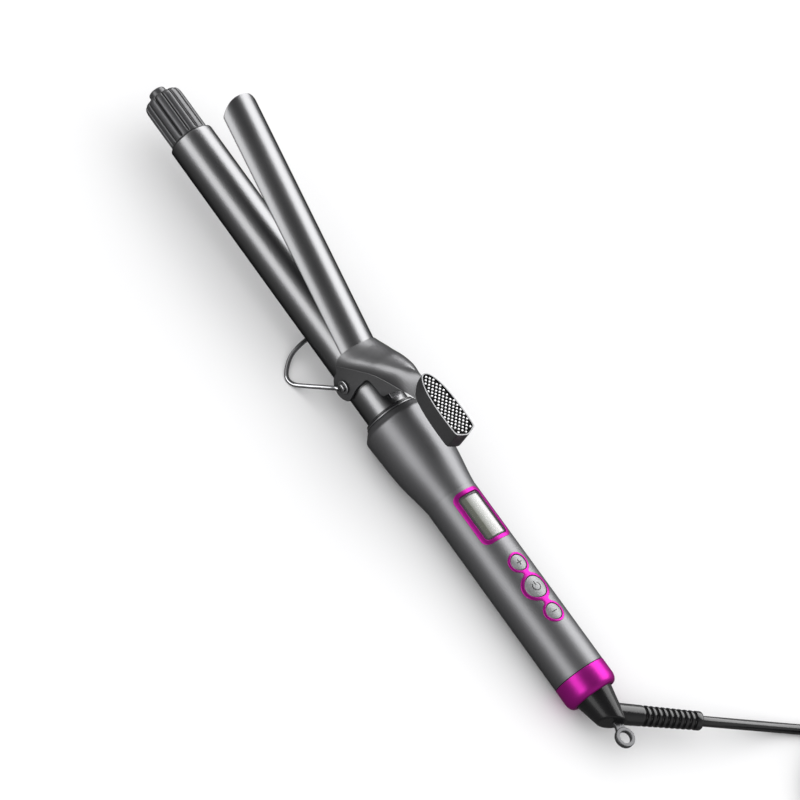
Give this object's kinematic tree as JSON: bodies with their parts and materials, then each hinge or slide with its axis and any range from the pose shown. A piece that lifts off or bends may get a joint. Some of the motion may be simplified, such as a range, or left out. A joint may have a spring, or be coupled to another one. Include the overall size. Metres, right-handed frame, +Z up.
{
  "type": "curling iron",
  "caption": "Curling iron with a slim barrel, sprung clamp with thumb lever, wire stand, handle with display and keys, swivelling tail with hanging loop, and coiled mains lead.",
  "frame": {"origin": "middle of the iron on the table it stands on, leaving out the mains lead", "axes": "+X from the cool tip to the tail, +Z up, +Y across the barrel to the side the strain relief points to"},
  "size_m": [0.585, 0.1857, 0.0804],
  "materials": {
    "barrel_metal": "satin ceramic-coated barrel and tongue",
    "lever_metal": "satin grey metallic paint",
    "handle_satin": "dark satin grey metallic lacquer",
    "tip_plastic": "satin heat-proof plastic",
    "accent_magenta": "satin magenta metallic lacquer",
    "stand_chrome": "polished",
    "gloss_black": "glossy black",
    "relief_black": "semi-gloss black",
    "cord_sheath": "semi-gloss PVC sheath",
    "thumb_inset": "black inset with a grid of bright dots",
    "key_grey": "light grey satin keys",
    "window_clear": "clear window",
    "lcd_face": "grey-green display module",
    "board_green": "printed circuit board",
    "inner_black": "moulded",
    "inner_white": "moulded",
    "ceramic": "ceramic",
    "spreader_aluminium": "extruded",
    "steel": "plated",
    "contact_brass": "contact brass"
  },
  "bodies": {
    "root": {"cool_tip": "tip_plastic", "barrel_tube": "barrel_metal", "heat_spreader_upper": "spreader_aluminium", "heat_spreader_lower": "spreader_aluminium", "ptc_heater": "ceramic", "thermistor": "ceramic", "thermal_fuse": "steel", "heater_lead_live": "inner_white", "heater_lead_neutral": "inner_black", "pivot_screw_near": "stand_chrome", "pivot_nut_near": "steel", "pivot_screw_far": "stand_chrome", "pivot_nut_far": "steel", "clamp_spring": "steel", "insulating_ring": "gloss_black", "spacer_ring": "lever_metal", "barrel_mount": "inner_black", "handle_shell": "handle_satin", "display_frame": "accent_magenta", "display_window": "window_clear", "display_bezel": "gloss_black", "lcd_module": "lcd_face", "button_surround": "accent_magenta", "switch_plus": "inner_black", "switch_power": "inner_black", "switch_minus": "inner_black", "control_board": "board_green", "relay": "inner_black", "capacitor": "inner_black", "triac": "inner_black", "inner_frame": "inner_black", "board_screw_front": "steel", "board_screw_rear": "steel", "end_band": "accent_magenta", "swivel_retainer": "inner_white", "contact_brush_upper": "contact_brass", "contact_brush_lower": "contact_brass"},
    "clamp": {"clamp_tongue": "barrel_metal", "clamp_lever": "lever_metal", "thumb_grip": "thumb_inset", "tongue_rivet_near": "steel", "tongue_rivet_far": "steel"},
    "stand": {"bail_stand": "stand_chrome"},
    "key_plus": {"button_plus": "key_grey"},
    "key_power": {"button_power": "key_grey"},
    "key_minus": {"button_minus": "key_grey"},
    "swivel": {"tail_swivel": "gloss_black", "slip_ring": "contact_brass", "hanging_loop": "gloss_black", "strain_relief": "relief_black", "cord_lead": "cord_sheath", "cord_coil": "cord_sheath", "coil_tie": "cord_sheath", "cord_tail": "cord_sheath", "plug_body": "gloss_black", "plug_pin_near": "contact_brass", "plug_pin_far": "contact_brass"}
  },
  "joints": [
    {"name": "clamp_hinge", "type": "hinge", "parent": "root", "child": "clamp", "pos_m": [-0.01983, 0, 0.0213], "axis": [0, 1, 0], "range_deg": [-15.9, 9], "stiffness_Nm_per_rad": 0.6, "springref_deg": -40.11, "deforming": ["clamp_spring"]},
    {"name": "stand_hinge", "type": "hinge", "parent": "root", "child": "stand", "pos_m": [-0.01983, 0, 0.0213], "axis": [0, -1, 0], "range_deg": [0, 110]},
    {"name": "key_plus_press", "type": "slide", "parent": "root", "child": "key_plus", "axis": [-0.0294, 0, -0.9996], "range_m": [0, 0.0006], "stiffness_N_per_m": 600},
    {"name": "key_power_press", "type": "slide", "parent": "root", "child": "key_power", "axis": [-0.0294, 0, -0.9996], "range_m": [0, 0.0006], "stiffness_N_per_m": 600},
    {"name": "key_minus_press", "type": "slide", "parent": "root", "child": "key_minus", "axis": [-0.0294, 0, -0.9996], "range_m": [0, 0.0006], "stiffness_N_per_m": 600},
    {"name": "cord_swivel", "type": "hinge", "parent": "root", "child": "swivel", "pos_m": [0.17155, 0, 0.01447], "axis": [0.9996, 0, -0.0294], "continuous": true}
  ]
}
